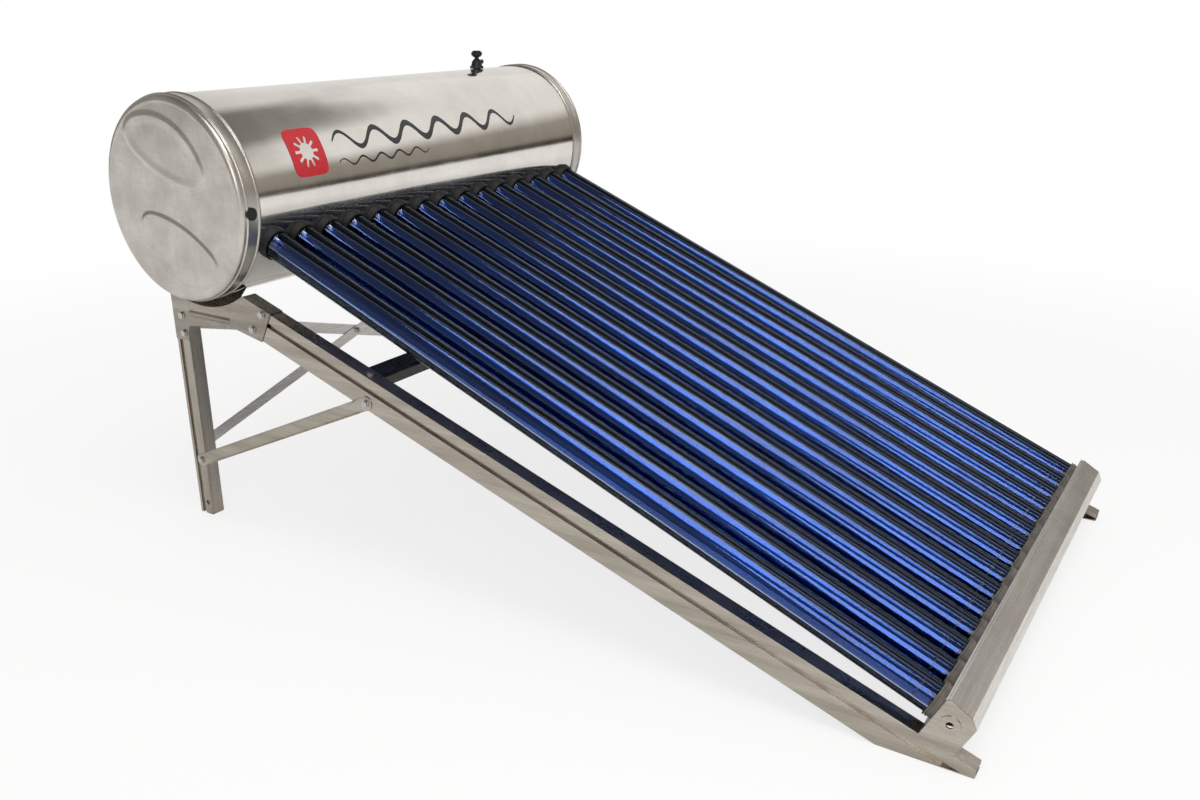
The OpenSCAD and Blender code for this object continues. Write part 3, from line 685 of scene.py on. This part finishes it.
finishes = {
    "outer_shell": polished_stainless(),
    "inner_tank": cap_finish,
    "insulation": foam(),
    "dust_rings": rubber("black_epdm", "0B0B0C", "1B1B1D"),
    "tank_seals": rubber("red_silicone", "6E1F18", "86281F", 3),
    "cold_inlet": turned_brass(),
    "anode_rod": cast_anode(),
    "vent_body": moulded_plastic("black_moulded_plastic", "0D0D0F", "1A1A1D"),
    "tube_cups": moulded_plastic("grey_brown_cup_plastic", "5C564F", "7A7269", (0.4, 0.55)),
    "frame_bolts": turned_stainless(),
    "rear_leg_left": folded_stainless("folded_stainless_upright", 0, (1, 1, 0.03)),
    "front_leg_left": folded_stainless("folded_stainless_slope", -LEG_TILT),
    "tail_rail": folded_stainless("folded_stainless_rail", 0, (0.03, 1, 1), "D4D0CC", "EEEBE8"),
    # the tie bar's much darker tone is painted shade for the shadow beneath the tubes; it is the
    # same folded strip as the legs
    "front_tie": folded_stainless("folded_stainless_tie_painted_shade", 0, (0.03, 1, 1), "5A5652", "77726C"),
    "tank_bracket_left": folded_stainless(
        "stamped_stainless_plate", 0, (1, 0.08, 1), "8E877E", "B4AEA5",
    ),
    "tube_glass_1": clear_glass(),
}
same_finish = {
    "dust_rings": ["sensor_plug"],
    "cold_inlet": ["hot_outlet"],
    "vent_body": ["vent_knob"],
    "frame_bolts": ["frame_nuts"],
    "rear_leg_left": ["rear_leg_right"],
    "front_leg_left": [
        "front_leg_right", "side_brace_left", "side_brace_right",
        "rail_end_left", "rail_end_right",
    ],
    "tail_rail": ["cross_bar_rising", "cross_bar_falling"],
    "tank_bracket_left": ["tank_bracket_right"],
    "tube_glass_1": [f"tube_glass_{i}" for i in range(2, TUBE_COUNT + 1)],
}
for first, others in same_finish.items():
    for name in others:
        finishes[name] = finishes[first]
for name, finish in finishes.items():
    mesh = nodes[name].data
    mesh.materials.clear()
    mesh.materials.append(finish)

end_cap(-1, "pressed_cap_left", "end_cap_left")
end_cap(1, "pressed_cap_right", "end_cap_right")
clip_mesh = grown_mesh("centring_clip", *clip_group())
for i in range(1, TUBE_COUNT + 1):
    inner_tube(i)
    centring_clip(i, clip_mesh)
thread_mesh = grown_mesh("nipple_thread", *thread_group())
nipple_thread("cold_inlet_screw", "cold_inlet", thread_mesh)
nipple_thread("hot_outlet_screw", "hot_outlet", thread_mesh)
sun_tile(-434 * MM, 91 * MM, 50 * MM)
wave("broad_wave", -350 * MM, 340 * MM, 104 * MM, 19 * MM, 115 * MM, 15 * MM)
wave("thin_wave", -350 * MM, -40 * MM, 58 * MM, 7 * MM, 62 * MM, 5 * MM)


# ---------- floor, light and camera ----------


def floor():
    """A pale floor that fades into the white surroundings; the camera sees it
    lifted towards white, so only the soft shadow stays on it."""
    material, tree, shader = start_material("pale_floor")
    coords = add(tree, "ShaderNodeTexCoord")
    far = add(tree, "ShaderNodeVectorMath", {0: coords.outputs["Object"]}, operation="LENGTH")
    shader.inputs["Base Color"].default_value = linear("F6F5F3")
    shader.inputs["Roughness"].default_value = 0.9
    path = add(tree, "ShaderNodeLightPath")
    lift = add(tree, "ShaderNodeMath", {
        0: path.outputs["Is Camera Ray"], 1: 0.75,
    }, operation="MULTIPLY")
    paper = add(tree, "ShaderNodeEmission", {"Color": (1, 1, 1, 1), "Strength": 1.0})
    lit = add(tree, "ShaderNodeMixShader", {
        0: lift.outputs[0], 1: shader.outputs[0], 2: paper.outputs[0],
    })
    fade = add(tree, "ShaderNodeMapRange", {
        "Value": far.outputs["Value"], "From Min": 1.4, "From Max": 4.0,
    }, interpolation_type="SMOOTHSTEP").outputs[0]
    clear = add(tree, "ShaderNodeBsdfTransparent")
    blended = add(tree, "ShaderNodeMixShader", {
        0: fade, 1: lit.outputs[0], 2: clear.outputs[0],
    })
    output = next(n for n in tree.nodes if n.type == "OUTPUT_MATERIAL")
    tree.links.new(blended.outputs[0], output.inputs["Surface"])
    bpy.ops.mesh.primitive_plane_add(size=16)
    plane = bpy.context.object
    plane.name = "studio_floor"
    plane.data.materials.append(material)


def product(tree, first, second):
    """Two values multiplied."""
    return add(tree, "ShaderNodeMath", {0: first, 1: second}, operation="MULTIPLY").outputs[0]


def wall_glow(radius):
    """The glow of the room's wall: a dark skirting at the horizon, warm grey
    walls, a dim ceiling, a tall bright bay at the right and a window behind."""
    material = bpy.data.materials.new("warm_grey_studio_wall")
    material.use_nodes = True
    tree = material.node_tree
    tree.nodes.clear()
    coords = add(tree, "ShaderNodeTexCoord")
    parts = add(tree, "ShaderNodeSeparateXYZ", {0: coords.outputs["Object"]})
    x, y, z = parts.outputs
    ramp = add(tree, "ShaderNodeValToRGB", {0: span(tree, z, 0, 1, -0.2, radius)})
    stops = [
        (0.0, "8A857D"), (0.03, "35322E"), (0.055, "45423D"), (0.11, "98928A"),
        (0.4, "ABA69E"), (0.62, "8A8680"), (1.0, "6E6B67"),
    ]
    points = ramp.color_ramp.elements
    for position, _ in stops[1:-1]:
        points.new(position)
    for point, (position, code) in zip(points, stops):
        point.position = position
        point.color = linear(code)
    bay = product(
        tree,
        span(tree, x, 0, 1, 0.58 * radius, 0.70 * radius),
        span(tree, z, 0, 1, 0.28 * radius, 0.42 * radius),
    )
    lintel = product(tree, bay, span(tree, z, 1, 0.15, 0.64 * radius, 0.72 * radius))
    window = product(
        tree,
        span(tree, x, 0, 1, 0.3 * radius, 0.6 * radius),
        span(tree, y, 0, 0.8, 0.28 * radius, 0.46 * radius),
    )
    bright = add(tree, "ShaderNodeMath", {0: lintel, 1: window}, operation="MAXIMUM")
    seen = mix(tree, bright.outputs[0], ramp.outputs[0], linear("FBFAF8"))
    glow = add(tree, "ShaderNodeEmission", {"Color": seen, "Strength": 1.0})
    add(tree, "ShaderNodeOutputMaterial", {"Surface": glow.outputs[0]})
    return material


def studio_wall(radius=7.0):
    """The room that polished steel and glass mirror, as a dome round them that
    the camera doesn't see and that neither lights nor shades anything."""
    columns, verts = 96, []
    bands = [-1.5, 0, 2, 4, 8, 14, 22, 32, 44, 56, 68, 79, 89.9]
    for lift in bands:
        a = math.radians(lift)
        for c in range(columns):
            turn = 2 * math.pi * c / columns
            verts.append((
                radius * math.cos(a) * math.cos(turn),
                radius * math.cos(a) * math.sin(turn),
                radius * math.sin(a),
            ))
    mesh = mesh_from("studio_wall", verts, grid_faces(len(bands), columns))
    mesh.materials.append(wall_glow(radius))
    wall = bpy.data.objects.new("studio_wall", mesh)
    wall.location = (0, 0, AXIS_Z)
    bpy.context.scene.collection.objects.link(wall)
    wall.visible_camera = False
    wall.visible_diffuse = False
    wall.visible_shadow = False


def light(name, centre, size, power):
    """A square softbox that points at the heater."""
    lamp = bpy.data.lights.new(name, "AREA")
    lamp.shape = "SQUARE"
    lamp.size = size
    lamp.energy = power
    obj = bpy.data.objects.new(name, lamp)
    obj.location = centre
    obj.rotation_euler = (Vector((0, 0, 0.4)) - Vector(centre)).to_track_quat("-Z", "Y").to_euler()
    bpy.context.scene.collection.objects.link(obj)


def surroundings():
    """White where it is seen or mirrored, a plain grey where it lights."""
    world = bpy.data.worlds.new("studio")
    bpy.context.scene.world = world
    world.use_nodes = True
    tree = world.node_tree
    tree.nodes.clear()
    path = add(tree, "ShaderNodeLightPath")
    seen = add(tree, "ShaderNodeMath", {
        0: path.outputs["Is Camera Ray"], 1: path.outputs["Is Glossy Ray"],
    }, operation="MAXIMUM")
    seen = add(tree, "ShaderNodeMath", {
        0: seen.outputs[0], 1: path.outputs["Is Transmission Ray"],
    }, operation="MAXIMUM")
    strength = add(tree, "ShaderNodeMapRange", {
        "Value": seen.outputs[0], "To Min": 0.62, "To Max": 1.0,
    })
    back = add(tree, "ShaderNodeBackground", {
        "Color": (1, 1, 1, 1), "Strength": strength.outputs[0],
    })
    add(tree, "ShaderNodeOutputWorld", {"Surface": back.outputs[0]})


def camera():
    """The view from the left front, a little above the tank."""
    data = bpy.data.cameras.new("camera")
    data.lens = 32.3
    data.sensor_width = 36
    data.shift_x = 0.0897
    data.shift_y = 0.1393
    obj = bpy.data.objects.new("camera", data)
    obj.location = (-2.1519, -1.1101, 1.0982)
    obj.rotation_euler = [math.radians(a) for a in (62.246, 0.143, -55.143)]
    bpy.context.scene.collection.objects.link(obj)
    bpy.context.scene.camera = obj


floor()
studio_wall()
light("softbox_above", (-1.0, -1.0, 4.0), 2.5, 60)
light("softbox_left", (-4.0, -2.0, 2.5), 2.0, 40)
surroundings()
camera()
bpy.context.scene.view_settings.view_transform = "Standard"
